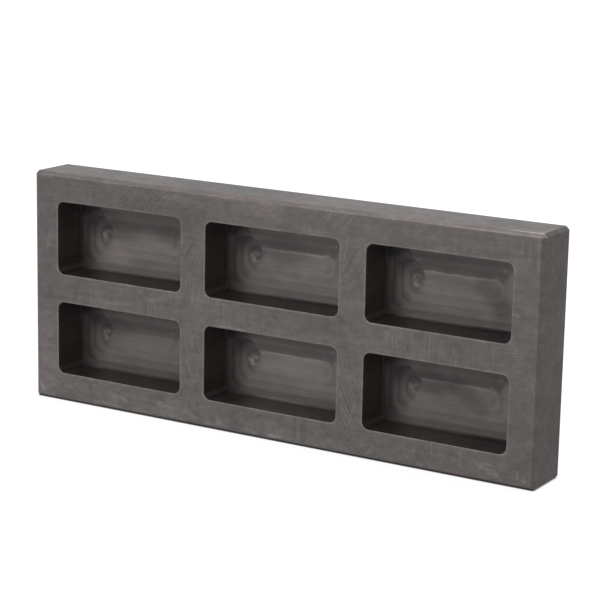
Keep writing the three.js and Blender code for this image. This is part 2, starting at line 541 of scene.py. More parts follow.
# %% The field class
class Field:
    """The output of a node, ready for + - * / and abs."""
    # With this a numpy number to the left of a sign leaves the sum to the field.
    __array_ufunc__ = None

    def __init__(self, socket):
        self.socket = socket
        self.tree = socket.id_data

    def __add__(self, other):
        return calc("ADD", self, other)

    def __sub__(self, other):
        return calc("SUBTRACT", self, other)

    def __rsub__(self, other):
        return calc("SUBTRACT", other, self)

    def __mul__(self, other):
        return calc("MULTIPLY", self, other)

    def __truediv__(self, other):
        return calc("DIVIDE", self, other)

    def __abs__(self):
        return calc("ABSOLUTE", self)

    __radd__ = __add__
    __rmul__ = __mul__


print("signs on a field: + - * / abs")

# %% Nodes for numbers and vectors
def feed(socket, value):
    """Gives a socket a plain value, or links it to the node that works the value out."""
    if isinstance(value, Field):
        value.tree.links.new(value.socket, socket)
    else:
        socket.default_value = value


def new_node(kind, values, operation=None):
    """A node in the tree of the first field among the values, which feed its inputs in order."""
    tree = next(value.tree for value in values if isinstance(value, Field))
    made = tree.nodes.new("ShaderNode" + kind)
    if operation:
        made.operation = operation
    for socket, value in zip(made.inputs, values):
        feed(socket, value)
    return made


def calc(operation, *values):
    """A Math node on numbers, such as MAXIMUM or SQRT."""
    return Field(new_node("Math", values, operation).outputs[0])


def calc_vector(operation, *values):
    """The same on vectors, one axis at a time, such as ADD or MULTIPLY."""
    return Field(new_node("VectorMath", values, operation).outputs["Vector"])


def scaled(vector, factor):
    """A vector times a number."""
    made = new_node("VectorMath", [vector], "SCALE")
    feed(made.inputs["Scale"], factor)
    return Field(made.outputs["Vector"])


def parts_of(vector):
    """The x, y and z of a vector."""
    return [Field(output) for output in new_node("SeparateXYZ", [vector]).outputs]


def joined(x, y, z):
    """The vector with these parts."""
    return Field(new_node("CombineXYZ", (x, y, z)).outputs[0])


print("nodes for sums are ready")

# %% Soft steps and noise
def rise(value, start, end):
    """A soft step from 0 at start to 1 at end; with start above end it falls instead."""
    made = new_node("MapRange", (value, start, end))
    made.interpolation_type = "SMOOTHSTEP"
    return Field(made.outputs[0])


def noise_node(place, size, detail):
    """A noise that is read at the place divided by a size in millimetres on each axis."""
    made = new_node("TexNoise", [calc_vector("MULTIPLY", place, tuple(1 / s for s in size))])
    made.inputs["Scale"].default_value = 1.0
    made.inputs["Detail"].default_value = detail
    return made


def grain(place, size, detail=2.0):
    """Noise between 0 and 1, around one half, with blots of this size in millimetres along x, y and z."""
    return Field(noise_node(place, size, detail).outputs[0])


def shaken(vector, place, size, amount):
    """A vector moved about by noise: plus amount times a noise colour less one half on each axis."""
    colour = Field(noise_node(place, size, 2.0).outputs[1])
    shift = calc_vector("SUBTRACT", colour, (0.5, 0.5, 0.5))
    return calc_vector("ADD", vector, scaled(shift, amount))


def around_one(noise, strength):
    """Turns noise around one half into a factor around 1: 1 + strength * (2 * noise - 1)."""
    return calc("MULTIPLY_ADD", noise, 2 * strength, 1 - strength)


print("steps and noise are ready")

# %% Several fields at once, and where the fields start
def product(*factors):
    """All factors multiplied."""
    return reduce(lambda result, factor: result * factor, factors)


def largest(values):
    """The largest of several values."""
    return reduce(lambda result, value: calc("MAXIMUM", result, value), values)


def weighted(*pairs):
    """1 plus each value times its weight."""
    return reduce(lambda result, pair: calc("MULTIPLY_ADD", *pair, result), pairs, 1.0)


def place_in_mm(tree):
    """The position on the object in millimetres."""
    return scaled(Field(tree.nodes.new("ShaderNodeTexCoord").outputs["Object"]), 1 / MM)


def attribute(tree, name, output):
    """An attribute of the mesh, as the output Vector or Fac."""
    made = tree.nodes.new("ShaderNodeAttribute")
    made.attribute_name = name
    return Field(made.outputs[output])


print("products, sums and places are ready")

# %% [markdown]
# ## Graphite
# Machined graphite is a dark warm grey with a soft metallic sheen. Its colour drifts very slightly
# between a pinkish and a greenish grey. Every zone uses the same base: two greys mixed by a large
# noise, then scaled by the zone's own tone. A zone's recipe takes the place and gives back that tone,
# the height for the bump, extra roughness and extra warmth. Fine grain goes into all of them.

# %% The base of every graphite material
PINKISH = (0.1272, 0.1115, 0.1100)
GREENISH = (0.1218, 0.1125, 0.1080)
DRIFT_BLOTS = (11, 11, 8)
DRIFT_STEP = (0.38, 0.62)
SPECK = (0.5, 0.5, 0.5)
SPECK_CONTRAST = 0.15
SPECK_HEIGHT = 0.6
METALLIC = 0.6
SPECULAR = 0.4
SHINE = 0.42
SHINE_SPREAD = 0.16
SHINE_BLOTS = (5, 5, 5)
BUMP_STRENGTH = 0.5
BUMP_DEPTH = 0.06


def graphite_grey(place):
    """The base colour: a mix of the two greys, which follows a soft step on a large noise."""
    blend = place.tree.nodes.new("ShaderNodeMix")
    blend.data_type = "RGBA"
    feed(blend.inputs[0], rise(grain(place, DRIFT_BLOTS, 3.0), *DRIFT_STEP))
    blend.inputs[6].default_value = (*PINKISH, 1)
    blend.inputs[7].default_value = (*GREENISH, 1)
    return Field(blend.outputs[2])


def graphite_material(name, recipe, edge_tint=1.0):
    """A material from a recipe: colour is grey, warmed in its red, times tone and speck.
    An edge tint below 1 takes sheen away where the surface is seen at a low angle."""
    material = bpy.data.materials.new(name)
    material.use_nodes = True
    tree = material.node_tree
    shader = tree.nodes["Principled BSDF"]
    place = place_in_mm(tree)
    tone, height, dull, warm = recipe(place)
    speck = grain(place, SPECK, 3.0)
    red, green, blue = parts_of(graphite_grey(place))
    warmed = joined(red * (warm + 1.0), green, blue)
    feed(shader.inputs["Base Color"], scaled(warmed, tone * around_one(speck, SPECK_CONTRAST)))
    shine = grain(place, SHINE_BLOTS, 4.0) * SHINE_SPREAD + (SHINE - SHINE_SPREAD / 2)
    feed(shader.inputs["Roughness"], shine + dull)
    shader.inputs["Metallic"].default_value = METALLIC
    shader.inputs["Specular IOR Level"].default_value = SPECULAR
    shader.inputs["Specular Tint"].default_value = (edge_tint, edge_tint, edge_tint, 1)
    bump = tree.nodes.new("ShaderNodeBump")
    bump.inputs["Strength"].default_value = BUMP_STRENGTH
    bump.inputs["Distance"].default_value = BUMP_DEPTH * MM
    feed(bump.inputs["Height"], speck * SPECK_HEIGHT + height)
    feed(shader.inputs["Normal"], Field(bump.outputs[0]))
    print("made", name, "of", len(tree.nodes), "nodes")
    return material


print("greys", PINKISH, "and", GREENISH)

# %% [markdown]
# ## Spots and scratches
# Some marks sit at certain places: a patch where the cutter rubbed, a scuff, a scratch. A spot is a
# soft ellipse and a scratch is a thin bar with soft ends. Both are worked out in the plane that two
# coordinates give, so the same helpers serve the face, the floors and the top. A place is written as
# (middle, reach), a line as (start, end, half width), all in millimetres, and a cloud is a place with
# a weight, for a large area that is a little lighter or darker.

# %% Spots, scratches and clouds
def spot(u, v, middle, reach):
    """1 in the middle of a soft ellipse, 0 at its rim: a step on the squared distance in its own radii."""
    one = (u - middle[0]) / reach[0]
    two = (v - middle[1]) / reach[1]
    return rise(one * one + two * two, 1.0, 0.1)


def scratch(u, v, start, end, width):
    """1 on the bar from start to end. Along the bar, the place runs from -1 to 1; across it, in widths."""
    start, end = np.array(start), np.array(end)
    half = np.linalg.norm(end - start) / 2
    way = (end - start) / (2 * half)
    middle = (start + end) / 2
    u, v = u - middle[0], v - middle[1]
    along = (u * way[0] + v * way[1]) / half
    across = (v * way[0] - u * way[1]) / width
    return rise(abs(along), 1.0, 0.6) * rise(abs(across), 1.0, 0.2)


def spots(u, v, places):
    """The strongest of several spots."""
    return largest([spot(u, v, *place) for place in places])


def scratches(u, v, lines):
    """The strongest of several scratches."""
    return largest([scratch(u, v, *line) for line in lines])


def clouds(u, v, places):
    """A factor around 1: 1 plus each soft ellipse times its weight."""
    return weighted(*[(spot(u, v, middle, reach), weight) for middle, reach, weight in places])


print("spots, scratches and clouds are ready")

# %% [markdown]
# ## The milled face
# A fly cutter wider than the block crossed the face once from end to end. Its tip swings on a circle
# round the middle of the block's height, so it leaves fine arcs that stand upright on the middle
# web and lean over on the rails. The arcs only show in patches, where the tip was a little worn, and
# its back edge left a weaker set bent the other way. The lower right corner stayed calm. A lighter
# border runs round each mouth, where the rim was broken by hand. Along the bottom and in the lower
# left corner the block is scuffed and smudged from being set down. A few scratches and soft brushed
# marks tell of use.

# %% Where the face's marks are
FACE_TONE = 0.905
# How strongly painted light and shade grade the face, lighter at the bottom and darker at the top
FACE_SHADE_FADE = 0.14
LOW_RIM = (3.6, 2.0)
ARC_PATCHES = (((-66, 94), (22, 8)), ((31, 93), (14, 9)), ((37.5, 82), (8, 16)),
               ((67, 50), (17, 8)), ((37, 22), (7, 20)), ((-38, 24), (7, 22)))
CALM_FACE = ((84, 2), (36, 15))
SCUFFS = (((-90, 7), (26, 6)), ((-36, 5), (26, 6)), ((-112, 14), (8, 10)), ((4, 50), (12, 5)))
SMUDGES = (((-82, 7.3), (-70, 5.2), 1.5), ((-90, 2.7), (-74, 1.9), 0.8), ((-56, 7.2), (-45, 5.2), 1.5),
           ((-50, 2.6), (-41, 1.9), 0.9), ((-26, 4.2), (-18, 1.6), 1.3), ((-12, 3.2), (-4, 1.9), 1.2),
           ((-1, 2.4), (8, 1.8), 1.2), ((93, 7.6), (106, 3), 2.2), ((98, 8), (103, 6.8), 0.9),
           ((112.4, 8), (112.8, 3), 1.0), ((115.2, 6.6), (115.5, 2.2), 1.3),
           ((118, 6.2), (118.1, 1.4), 1.0), ((-118, 8), (-115, 2.4), 1.6))
FACE_CLOUDS = (((-119, 14), (14, 34), 0.20), ((-8, 97), (15, 6), 0.18), ((-58, 90), (38, 5.5), -0.14),
               ((-60, 5), (32, 7), 0.07), ((2, 4), (14, 4), 0.14), ((12, 52), (32, 6), -0.09),
               ((112, 20), (8, 34), -0.08), ((-37, 84), (8, 14), -0.08), ((-37, 46), (7, 16), 0.08),
               ((76, 51), (15, 6), -0.1), ((70, 90), (44, 4), -0.06), ((12.6, 6.5), (1.1, 8), -0.12),
               ((17, 6.5), (2.2, 8), -0.14))
FACE_SCRATCHES = (((-27, 44.9), (-9, 44.7), 0.6), ((107.4, 68.1), (111.6, 67.2), 0.4),
                  ((38, 98), (33, 91), 0.3), ((35.5, 88), (33.8, 79), 0.35), ((-66, 97), (-72, 89.5), 0.3),
                  ((28, 97.5), (24, 92), 0.3), ((41, 24), (37.5, 12), 0.35), ((-41, 30), (-36, 14), 0.3),
                  ((75.4, 12.4), (75.6, 7), 0.35))
FACE_BRUSHES = (((-90.6, 95), (-90, 88.8), 1.3), ((-42, 55.5), (-62, 49.5), 1.6),
                ((-60, 49.8), (-84, 45.8), 1.5), ((117.3, 99), (117.5, 82), 0.9),
                ((113.8, 98), (113.8, 87), 0.8), ((110.6, 98), (110.8, 89), 0.6),
                ((-116, 4), (-104, 9), 1.5), ((67.9, 12), (67.5, 3), 0.9), ((88.1, 12.3), (87.9, 4), 0.7),
                ((14.6, 12), (14.4, 2.5), 0.6))
print("scratches and brushed marks on the face:", len(FACE_SCRATCHES) + len(FACE_BRUSHES))

# %% Marks that come from noise
FLY_RADIUS = 60.0
ARC_SIZE = (0.85, 3.0, 30.0)
HAIR_SIZE = (11.0, 0.42, 1.0)
HAIR_LEANS = (1.0, -1.1, 0.15)
HAIR_BOW = 30.0
# The mottled look: the size and the contrast of large blots, smaller ones and short smears
MOTTLE = (((13, 13, 9), 0.20), ((3.2, 3.2, 2.4), 0.30), ((14, 2.0, 1.6), 0.20))
# Patches of marks: a shift along x, the size of the blots, and the noise where they start and are full
ARCS_SHOW = (0.0, (28, 28, 18), 0.54, 0.7)
BACK_ARCS_SHOW = (150.0, (22, 22, 16), 0.48, 0.64)
HAIRS_SHOW = (300.0, (15, 15, 11), 0.44, 0.6)
# Where the upright edges of the ends are, and the share of the wear that they lack
UPRIGHT_X = (LENGTH / 2 - 4.0, LENGTH / 2 - 2.5)
UPRIGHT_Z = (HEIGHT - 1.5, HEIGHT - 4.0)
UPRIGHT_LOSS = 0.75


def fly_arcs(place, side):
    """Lines on the fly cutter's circles: noise that is fine across x + side * sqrt(radius^2 - height^2), the
    place where a circle crosses the middle, and long along the circle."""
    x, _, z = parts_of(place)
    from_middle = z - HEIGHT / 2
    reach = calc("SQRT", FLY_RADIUS ** 2 - from_middle * from_middle)
    return grain(joined(x + reach * side, side * 9.0, z), ARC_SIZE) - 0.5


def patches(place, shift, size, start, end):
    """Where a kind of mark shows: a large noise, moved along x so that each kind has its own patches."""
    return rise(grain(calc_vector("ADD", place, (shift, 0.0, 0.0)), size), start, end)


def edge_wear(place):
    """The lighter line on worn edges, broken up by noise. The upright edges of the ends are hardly worn."""
    x, _, z = parts_of(place)
    upright = rise(abs(x), *UPRIGHT_X) * rise(z, *UPRIGHT_Z)
    worn = attribute(place.tree, "wear", "Fac") * (1.0 - upright * UPRIGHT_LOSS)
    broken = rise(grain(place, (6, 2, 6), 3.0), 0.3, 0.6)
    return rise(worn, 0.2, 1.0) * (broken * 0.7 + 0.3)


def cloudy(place):
    """The mottled look of milled graphite: a product of factors around 1, one for each kind of blot."""
    return product(*[around_one(grain(place, size, 3.0), contrast) for size, contrast in MOTTLE])


def hair_lines(place, lean):
    """Thin light scratches that all lean the same way, slightly bent: noise drawn out along one direction,
    of which only the peaks stay."""
    x, _, z = parts_of(place)
    along = x * np.cos(lean) + z * np.sin(lean)
    across = z * np.cos(lean) - x * np.sin(lean)
    bow = along / HAIR_BOW
    bent = bow * bow * lean + across
    return rise(grain(joined(along, bent, lean * 40.0), HAIR_SIZE, 1.0), 0.60, 0.74)


print("arcs, patches, edge wear and hair lines are ready")

# %% The face
BROKEN_SIZE = (4.0, 4.0, 2.2)
SMUDGE_STREAKS = (2.2, 2.2, 0.8)
BORDER = (-1.1, -0.5)
BORDER_BLOTS = (7, 7, 5)
FACE_RELIEF = 1.5


def arc_lines(place, x, z):
    """The fly cutter's arcs where they show, and the weaker arcs of its back edge."""
    shown = largest([patches(place, *ARCS_SHOW), spots(x, z, ARC_PATCHES)])
    lines = product(fly_arcs(place, 1.0), shown, weighted((spot(x, z, *CALM_FACE), -0.9)))
    return lines, fly_arcs(place, -1.0) * patches(place, *BACK_ARCS_SHOW)


def face_recipe(place):
    """Tone is blots times all marks by their weights, times clouds, times a fade of painted light and shade
    from bottom to top: lighter at the bottom, darker at the top.
    """
    x, _, z = parts_of(place)
    lines, back_lines = arc_lines(place, x, z)
    broken = rise(grain(place, BROKEN_SIZE, 4.0), 0.42, 0.66)
    scuffed = broken * spots(x, z, SCUFFS)
    low_rim = broken * rise(z, *LOW_RIM)
    streaky = calc("MAXIMUM", around_one(grain(place, SMUDGE_STREAKS, 3.0), 2.6), 0.0)
    smudged = streaky * scratches(x, z, SMUDGES)
    scratched = scratches(x, z, FACE_SCRATCHES)
    brushed = scratches(x, z, FACE_BRUSHES)
    _, _, inset = parts_of(attribute(place.tree, "pocket_place", "Vector"))
    border = rise(inset, *BORDER) * around_one(grain(place, BORDER_BLOTS), 0.8)
    hairs = largest([hair_lines(place, lean) for lean in HAIR_LEANS]) * patches(place, *HAIRS_SHOW)
    marks = weighted((lines, 1.15), (back_lines, 0.45), (border, 0.24), (edge_wear(place), 0.25),
                     (scuffed, 0.2), (scratched, 0.45), (brushed, 0.2), (smudged, 0.3), (hairs, 0.36),
                     (low_rim, 0.2))
    # Painted light and shade: a little lighter at the bottom of the face, darker at the top
    fade = z * (-FACE_SHADE_FADE / HEIGHT) + (FACE_TONE + FACE_SHADE_FADE / 2)
    tone = product(cloudy(place), marks, clouds(x, z, FACE_CLOUDS), fade)
    return tone, (lines + back_lines) * FACE_RELIEF, 0.0, 0.0


face_graphite = graphite_material("graphite face", face_recipe)

# %% [markdown]
# ## The pocket floors
# The end mill plunged at the left, left a small ring there with painted highlights on its left, where
# the dimple catches the light, and then cleared the floor in loops. How the light catches the loops on
# each side of the pocket is painted into the colour as shade and light. The upper passes are painted
# darker, with a painted highlight line at their inner bound; in the left column they fade out instead.
# The left passes are painted darker too, a row of nested arcs, each lighter towards its inner side,
# with a painted shadow over their upper half and a painted highlight on the ridge above the ring. The
# lower ones run together into one smooth sheet with fine streaks, painted a little lighter, with
# painted shade at the foot of the wall in the lower row. The zones meet at slanting lines where the mill
# turned its corners. Soft clouds make the six floors differ, as they do on the real block, and two
# slanting sweeps are painted dark reflections.

# %% Where the floors' marks are
FLOOR_TONE = 0.90
PLUNGE = (-16.8, 0.3)
PLUNGE_RADIUS = 2.3
# Painted highlights where the plunge dimple catches the light
PLUNGE_HIGHLIGHTS = (((-18.4, 0.2), (1.7, 1.9)), ((-16.4, 1.5), (1.9, 1.2)), ((-17.8, -1.6), (1.2, 1.2)))
# A painted highlight on the ridge above the ring
RIDGE_HIGHLIGHT = ((-18.2, 7.4), (1.8, 1.6))
TURNS = (((-17.4, -5.0), (1.5, 1.2)), ((-21.2, -8.8), (1.5, 1.2)), ((-25.0, -12.2), (1.5, 1.2)))
RIGHT_TURNS = (((17.2, 5.2), (1.2, 1.0)), ((21.0, 8.8), (1.2, 1.0)))
FLOOR_CLOUDS = (((-85, 75.5), (13, 6), -0.22), ((-61, 76), (8, 6), -0.2), ((-92, 63), (14, 8), 0.34),
                ((-68, 68), (18, 5), 0.12), ((-3, 77), (15, 7), -0.24), ((-16, 74), (5, 4), -0.2),
                ((-1, 69), (9, 5), -0.14), ((17, 75), (8, 6), 0.18), ((96, 62), (7, 9), -0.16),
                ((66, 83), (20, 5), -0.16), ((-86, 32.5), (12, 5), -0.28), ((-96, 15), (15, 6), 0.14),
                ((0, 26), (38, 18), 0.16), ((2, 30), (22, 7), 0.12), ((67, 31), (13, 6), -0.28),
                ((46, 20), (5, 11), -0.2), ((-100, 72), (7, 15), 0.22), ((-100, 28), (7, 15), 0.16),
                ((74, 58.5), (28, 3.4), -0.16), ((-51, 72), (9, 13), -0.12), ((82, 69), (16, 9), -0.09),
                ((76, 29), (20, 8), -0.13), ((54, 28), (6, 11), -0.12), ((78, 81), (20, 4), -0.1))
# Two slanting sweeps of painted dark reflection
FLOOR_REFLECTED_SWEEPS = (((84.5, 77), (100, 62), 6.5), ((73, 35), (93, 21), 6.0))
print("clouds on the floors:", len(FLOOR_CLOUDS))

# %% The passes and the plunge mark
# The slanting lines where the mill turned: x at the pocket's middle, and how x changes with z
UPPER_LEFT = (-10.6, -0.9)
UPPER_RIGHT = (16.6, 0.8)
LOWER_LEFT = (-12.0, 1.0)
LEFT_COLUMN = (-30.0, -45.0)
UPPER_ROW = (HEIGHT / 2, HEIGHT / 2 + 10.0)
BOTTOM_Z = -POCKET_Z / 2


def distance_to(u, v, middle):
    """How far a place lies from a point, in millimetres."""
    one, two = u - middle[0], v - middle[1]
    return calc("SQRT", one * one + two * two)


def right_of(x, z, line):
    """How far a place lies to the right of a slanting line: x - start - slope * z."""
    start, slope = line
    return x - z * slope - start


def floor_zones(x, z, inset, soft):
    """1 on the upper, left and right passes in turn. The lines where the mill turned bound them, and the
    inner bound of the upper passes is drawn out by soft, in millimetres."""
    outer = rise(inset, soft + (INNER_PASS + 0.2), INNER_PASS - 0.4)
    lines = (UPPER_LEFT, UPPER_RIGHT, LOWER_LEFT)
    upper_left, upper_right, lower_left = (right_of(x, z, line) for line in lines)
    upper = product(rise(upper_left, -0.5, 0.5), rise(upper_right, 2.4, -1.0), outer, rise(z, 1.0, 2.0))
    left = product(rise(upper_left, 0.5, -0.5), rise(lower_left, 1.5, -2.5), rise(x, -13.0, -15.0))
    right = product(rise(upper_right, -0.5, 0.5), rise(x, 15.0, 17.0), rise(z, -9.0, -3.0))
    return upper, left, right


def plunge_mark(x, z, place):
    """Where the mill went in: a broken ring, and on its left painted highlights where the dimple catches the
    light, both cut up by noise.
    """
    ring = rise(abs(distance_to(x, z, PLUNGE) - PLUNGE_RADIUS), 1.0, 0.2)
    broken_ring = ring * rise(grain(place, (2.4, 2.4, 2.4), 1.0), 0.42, 0.6)
    broken_highlights = spots(x, z, PLUNGE_HIGHLIGHTS) * rise(grain(place, (1.3, 1.3, 1.3)), 0.34, 0.6)
    return broken_highlights * 1.2 + broken_ring * 0.5


def pass_marks(x, z, inset, left_column):
    """Painted shade and light of the passes, by weights: dark upper passes with their hollows, dark left ones
    with a saw of light arcs and light beside the wall, right ones with a faint dark saw, and a painted
    highlight line at the inner bound; and, apart, the painted shadow over the upper left passes."""
    phase = calc("FRACT", (inset - FIRST_PASS) / PASS_WIDTH)
    upper, left, right = floor_zones(x, z, inset, left_column * 2.6)
    saw = rise(phase, 0.05, 0.7) * rise(phase, 1.0, 0.86)
    hollow = rise(abs(phase - 0.5), 0.48, 0.1)
    outermost = rise(inset, INNER_PASS + 2.0, INNER_PASS - PASS_WIDTH)
    left_saw = product(left, saw, outermost * 0.30 + 0.12)
    in_corner = rise(z, 6.0, 10.0)
    beside_wall = product(left, rise(inset, 4.5, 0.8), 1.0 - in_corner)
    inner_line = rise(abs(inset - (INNER_PASS + 0.5)), 0.7, 0.1)
    inner_light = product(inner_line, rise(z, 1.0, 2.5), rise(abs(x), 17.0, 15.0),
                          weighted((left_column, -0.9)))
    # Painted shadow over the upper half of the left passes
    shadow = product(left, rise(z, -1.5, 7.0), largest([rise(inset, 3.2, 6.5), in_corner]))
    # Painted shade and light on each zone of passes, and a painted highlight line at the inner bound
    marks = [(upper, -0.46), (upper * hollow, -0.08), (left, -0.40), (left_saw, 1.15),
             (beside_wall, 0.28), (right * saw, -0.14), (inner_light, 0.24)]
    return marks, weighted((shadow, -0.66))


print("the passes end", round(INNER_PASS, 1), "mm from the mouth")

# %% The floors
SHAKE_SIZE = (3, 3, 3)
SHAKE = 0.8
STREAK_SIZE = (0.7, 18.0, 1.0)
FLOOR_BLOTS = (13, 13, 8)
# The streaks are read this share of x and z further on, so that they differ from pocket to pocket
STREAK_SHIFT = (0.05, 0.0, 0.05)


def floor_recipe(place):
    """Tone is streaks times blots, times all marks by their weights, which hold painted shade and highlights,
    times the painted shadow at the upper left, the clouds and the painted dark reflections of the sweeps.
    The streaks run along the passes, because they are read at the inset."""
    at = shaken(attribute(place.tree, "pocket_place", "Vector"), place, SHAKE_SIZE, SHAKE)
    x, z, inset = parts_of(at)
    block_x, _, block_z = parts_of(place)
    passes, shadow = pass_marks(x, z, inset, rise(block_x, *LEFT_COLUMN))
    plunge = plunge_mark(x, z, place)
    # Painted light on the lower passes, and painted shade at the foot of the wall in the lower row
    below = rise(z, 1.5, -3.0)
    foot = rise(z, BOTTOM_Z + 5.0, BOTTOM_Z + 0.8) * (1.0 - rise(block_z, *UPPER_ROW))
    marks = weighted(*passes, (plunge, 0.56), (spots(x, z, TURNS), -0.1), (spots(x, z, RIGHT_TURNS), 0.18),
                     (spot(x, z, *RIDGE_HIGHLIGHT), 0.32), (below, 0.10), (foot, -0.18))
    # Painted dark reflections, swept across two floors
    swept = weighted((scratches(block_x, block_z, FLOOR_REFLECTED_SWEEPS), -0.30))
    run = calc_vector("ADD", joined(inset, x + z, 0.0), calc_vector("MULTIPLY", place, STREAK_SHIFT))
    streaks = grain(run, STREAK_SIZE, 3.0)
    blots = grain(place, FLOOR_BLOTS, 3.0)
    tone = product(around_one(streaks, 0.21), around_one(blots, 0.28), marks, shadow,
                   clouds(block_x, block_z, FLOOR_CLOUDS), swept, FLOOR_TONE)
    return tone, streaks * 0.6 + plunge * 0.3, 0.0, 0.0


floor_graphite = graphite_material("graphite floor", floor_recipe)

# %% [markdown]
# ## The pocket walls
# The walls were cut by the mill's flank, which leaves faint lines at constant depth. As a whole they
# are painted dark, as shade inside the pockets. The arc at their foot is rougher, and painted darker as
# shade except on the lower walls. The short walls are painted lighter than the long ones. On the lower
# walls, painted light stands for the light that comes back from the floor, most of it in the left
# corner close to the floor, and near the mouth in the lower row. Painted shade darkens the lower walls
# to the right, and all over in the upper row.

# %% The walls
# The walls' tone is painted dark, as shade inside the pockets
WALL_SHADE_TONE = 0.6
WALL_WARMTH = 0.05
FLANK_LINES = (30, 0.5, 30)
UPRIGHT_LINES = (1.1, 14, 1.1)
WALL_BLOTS = (9, 9, 9)
END_X = POCKET_X / 2
FLOOR_Y = FRONT + POCKET_DEPTH
WALL_CLOUDS = (((4, 12.5), (26, 6), 0.9), ((97, 12.5), (15, 6), -0.3), ((97, 56.5), (17, 6), -0.3),
               ((4, 56.5), (30, 6), -0.08))


def wall_recipe(place):
    """Tone is the cutter's marks times painted shade and light at the foot, ends and corners, times painted
    light from the floor, times clouds and the walls' dark painted tone.
    """
    x, z, inset = parts_of(attribute(place.tree, "pocket_place", "Vector"))
    block_x, y, block_z = parts_of(place)
    flank = grain(place, FLANK_LINES, 3.0)
    upright = grain(place, UPRIGHT_LINES, 3.0)
    blots = grain(place, WALL_BLOTS, 3.0)
    foot = rise(inset, WALL_INSET - 0.02, WALL_INSET + 0.05)
    on_end = rise(abs(x), END_X - 1.6, END_X - 0.6)
    upper_row = rise(block_z, *UPPER_ROW)
    lower = rise(z, BOTTOM_Z + 3.0, BOTTOM_Z + 1.0)
    upper_foot = upper_row * rise(z, BOTTOM_Z + 1.0, BOTTOM_Z)
    by_corner = lower * rise(x, -21.0, -27.0)
    by_mouth = product(lower, rise(y, FRONT + 7.0, FRONT + 2.0), 1.0 - upper_row)
    by_floor = product(lower, rise(y, FLOOR_Y - 2.8, FLOOR_Y - 0.6), rise(x, -28.0, -20.0))
    to_right = lower * rise(x, -15.0, 25.0)
    cut = product(around_one(flank, 0.3), around_one(upright, 0.3), around_one(blots, 0.2))
    # Painted shade at the feet and on the upper row's lower walls, painted light on the short walls, left
    # corners and mouths; then painted light from the floor and painted shade to the right
    shade = weighted((foot * (1.0 - lower), -0.34), (on_end, 0.58), (upper_foot, -0.32), (by_corner, 0.7),
                     (by_mouth, 0.12))
    light = weighted((by_floor, upper_row + 1.1)) * weighted((to_right, -0.36))
    tone = product(cut, shade, light, clouds(block_x, block_z, WALL_CLOUDS), WALL_SHADE_TONE)
    return tone, flank, foot * 0.45, WALL_WARMTH


wall_graphite = graphite_material("graphite wall", wall_recipe)

# %% [markdown]
# ## The narrow sides and their chamfers
# The narrow sides were cut along the block, so their marks are long streaks. The chamfers along the top
# were filed by hand. They are painted lighter, as light from above, brightest where they meet at the
# right, and a painted highlight runs along the worn upper right corner. Of the ones that the block stands
# on, the end's has painted shade and the front's painted light. The flat of the top is mottled, with
# lighter and darker areas, a few scratches and a painted highlight at its right end.

# %% Chamfers and sides
CHAMFER_EDGE = EDGE_CHAMFER + WORN_REACH
CHAMFER_IN = EDGE_CHAMFER - 0.2
SIDE_STREAKS = (40, 0.8, 0.8)
TOP_SHIFT = (40.0, 0.0, 0.0)
TOP_BLOTS = (7.0, 6.0, 6.0)
WARM_BLOTS = (14.0, 12.0, 10.0)
# Painted light on the top chamfers: its share at the middle, its growth per millimetre to the right, and
# where it starts at the left
TOP_CHAMFER_LIGHT_AT_MIDDLE = 0.65
TOP_CHAMFER_LIGHT_PER_MM = 0.0015
TOP_CHAMFER_LIGHT_FROM_LEFT = (-119.5, -114.0)
# Where the painted highlight along the upper right corner lies
CORNER_Z = (HEIGHT - 0.5, HEIGHT - 0.1)
CORNER_X = (96.0, 117.0)
TOP_SCRATCHES = (((60.2, -3.4), (60.8, 5.5), 0.5), ((86, -2), (89, 7), 0.4), ((-93, -7), (-60, -7.6), 0.5))
# The last cloud is a painted highlight at the right end of the top
TOP_CLOUDS = (((-26, 0), (38, 20), -0.24), ((28, 0), (18, 20), 0.16), ((96, 2), (7, 14), -0.16),
              ((85, 0), (9, 10), 0.12), ((-112, -8), (7, 5), 0.16), ((112, -8), (7, 5), 0.2),
              ((-92, 0), (9, 16), -0.1), ((117.6, -5), (1.3, 9), 0.45))


def chamfer_zones(x, y, z):
    """1 on the front and back chamfers, near the top, near the bottom and on the chamfers of the ends."""
    front = rise(y, FRONT + CHAMFER_EDGE, FRONT + CHAMFER_IN)
    back = rise(y, BACK - CHAMFER_EDGE, BACK - CHAMFER_IN)
    top = rise(z, HEIGHT - CHAMFER_EDGE, HEIGHT - CHAMFER_IN)
    bottom = rise(z, CHAMFER_EDGE, CHAMFER_IN)
    ends = rise(abs(x), LENGTH / 2 - CHAMFER_EDGE, LENGTH / 2 - CHAMFER_IN)
    return front, back, top, bottom, ends


